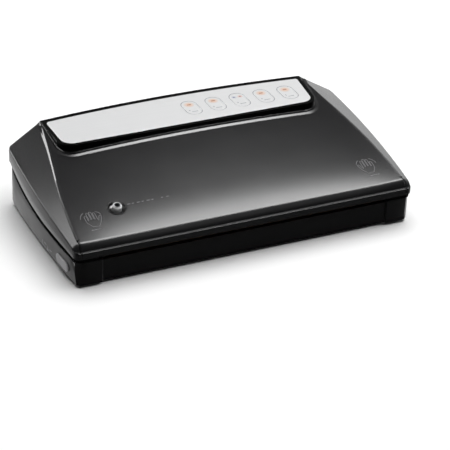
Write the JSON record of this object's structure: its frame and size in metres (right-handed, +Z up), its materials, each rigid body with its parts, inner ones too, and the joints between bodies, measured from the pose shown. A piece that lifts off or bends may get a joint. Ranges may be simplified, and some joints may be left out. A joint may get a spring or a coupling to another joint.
{
  "type": "vacuum sealer",
  "caption": "Countertop vacuum sealer: wide low base with heat strip and vacuum channel, rear-hinged sloping lid with a steel key panel and a hose port.",
  "frame": {"origin": "middle of the footprint, on the surface that the rubber feet stand on", "axes": "+X towards the right-hand end, +Y towards the rear hinge, +Z up"},
  "size_m": [0.39, 0.211, 0.088],
  "materials": {
    "lid_black": "satin black with a very fine metallic grain",
    "cap_black": "satin black",
    "base_black": "satin black",
    "bezel_black": "gloss black",
    "inner_plastic": "matt dark grey",
    "panel_steel": "brushed along its length",
    "key_steel": "brushed along the panel",
    "light_orange": "translucent, lit",
    "light_pair": "translucent, lit",
    "gasket_foam": "soft closed foam",
    "strip_silicone": "smooth silicone",
    "feet_rubber": "matt",
    "seal_carrier": "heat-resistant moulding",
    "nichrome": "thin flat element",
    "ptfe": "glass cloth tape, non-stick",
    "bright_metal": "polished",
    "zinc_steel": "zinc plated",
    "white_nylon": "natural nylon",
    "clear_tube": "translucent silicone tube",
    "motor_steel": "plated can",
    "copper": "enamelled copper",
    "core_iron": "laminated",
    "board_green": "solder resist",
    "parts_dark": "moulded components",
    "button_grey": "fine mesh texture with a pale border",
    "collar_black": "gloss black",
    "magnet_grey": "nickel plated"
  },
  "bodies": {
    "base": {"base_shell": "base_black", "base_plate": "inner_plastic", "rubber_feet": "feet_rubber", "base_screws": "zinc_steel", "drip_tray": "inner_plastic", "lower_gasket": "gasket_foam", "seal_bar": "seal_carrier", "heating_strip": "nichrome", "ptfe_tape": "ptfe", "hinge_brackets": "zinc_steel", "hinge_pins": "bright_metal", "pump_housing": "white_nylon", "pump_diaphragm": "feet_rubber", "pump_head": "white_nylon", "pump_motor": "motor_steel", "vacuum_hose": "clear_tube", "power_board": "board_green", "board_parts": "parts_dark", "transformer_core": "core_iron", "transformer_coil": "copper", "power_inlet": "inner_plastic", "inlet_pins": "bright_metal", "reed_switch": "white_nylon", "release_spring_left": "zinc_steel", "release_spring_right": "zinc_steel"},
    "pump_rotor": {"pump_rotor": "copper"},
    "release_left": {"release_button_left": "button_grey", "latch_slide_left": "white_nylon"},
    "release_right": {"release_button_right": "button_grey", "latch_slide_right": "white_nylon"},
    "lid": {"lid_cover": "lid_black", "side_cap_left": "cap_black", "side_cap_right": "cap_black", "console_bezel": "bezel_black", "control_panel": "panel_steel", "lid_liner": "inner_plastic", "upper_gasket": "gasket_foam", "pressure_strip": "strip_silicone", "latch_hooks": "white_nylon", "hinge_leaves": "zinc_steel", "accessory_port": "bright_metal", "port_collar": "collar_black", "port_duct": "clear_tube", "control_board": "board_green", "tact_switches": "parts_dark", "lid_magnet": "magnet_grey", "lid_screws": "zinc_steel"},
    "seal_key": {"seal_key": "key_steel", "seal_light": "light_orange"},
    "vacuum_key": {"vacuum_key": "key_steel", "vacuum_light": "light_orange"},
    "food_key": {"food_key": "key_steel", "food_lights": "light_pair"},
    "pulse_key": {"pulse_key": "key_steel", "pulse_light": "light_orange"},
    "stop_key": {"stop_key": "key_steel", "stop_light": "light_orange"}
  },
  "joints": [
    {"name": "lid_hinge", "type": "hinge", "parent": "base", "child": "lid", "pos_m": [0, 0.101, 0.0495], "axis": [-1, 0, 0], "range_deg": [0, 88]},
    {"name": "release_left", "type": "slide", "parent": "base", "child": "release_left", "axis": [1, 0, 0], "range_m": [0, 0.0025], "stiffness_N_per_m": 200, "springref_m": -0.002},
    {"name": "release_right", "type": "slide", "parent": "base", "child": "release_right", "axis": [-1, 0, 0], "range_m": [0, 0.0025], "stiffness_N_per_m": 200, "springref_m": -0.002},
    {"name": "pump_spin", "type": "hinge", "parent": "base", "child": "pump_rotor", "pos_m": [-0.07, 0.062, 0.0177], "axis": [1, 0, 0], "continuous": true},
    {"name": "seal_press", "type": "slide", "parent": "lid", "child": "seal_key", "axis": [0, 0, -1], "range_m": [0, 0.0008], "stiffness_N_per_m": 300, "springref_m": -0.001},
    {"name": "vacuum_press", "type": "slide", "parent": "lid", "child": "vacuum_key", "axis": [0, 0, -1], "range_m": [0, 0.0008], "stiffness_N_per_m": 300, "springref_m": -0.001},
    {"name": "food_press", "type": "slide", "parent": "lid", "child": "food_key", "axis": [0, 0, -1], "range_m": [0, 0.0008], "stiffness_N_per_m": 300, "springref_m": -0.001},
    {"name": "pulse_press", "type": "slide", "parent": "lid", "child": "pulse_key", "axis": [0, 0, -1], "range_m": [0, 0.0008], "stiffness_N_per_m": 300, "springref_m": -0.001},
    {"name": "stop_press", "type": "slide", "parent": "lid", "child": "stop_key", "axis": [0, 0, -1], "range_m": [0, 0.0008], "stiffness_N_per_m": 300, "springref_m": -0.001}
  ]
}
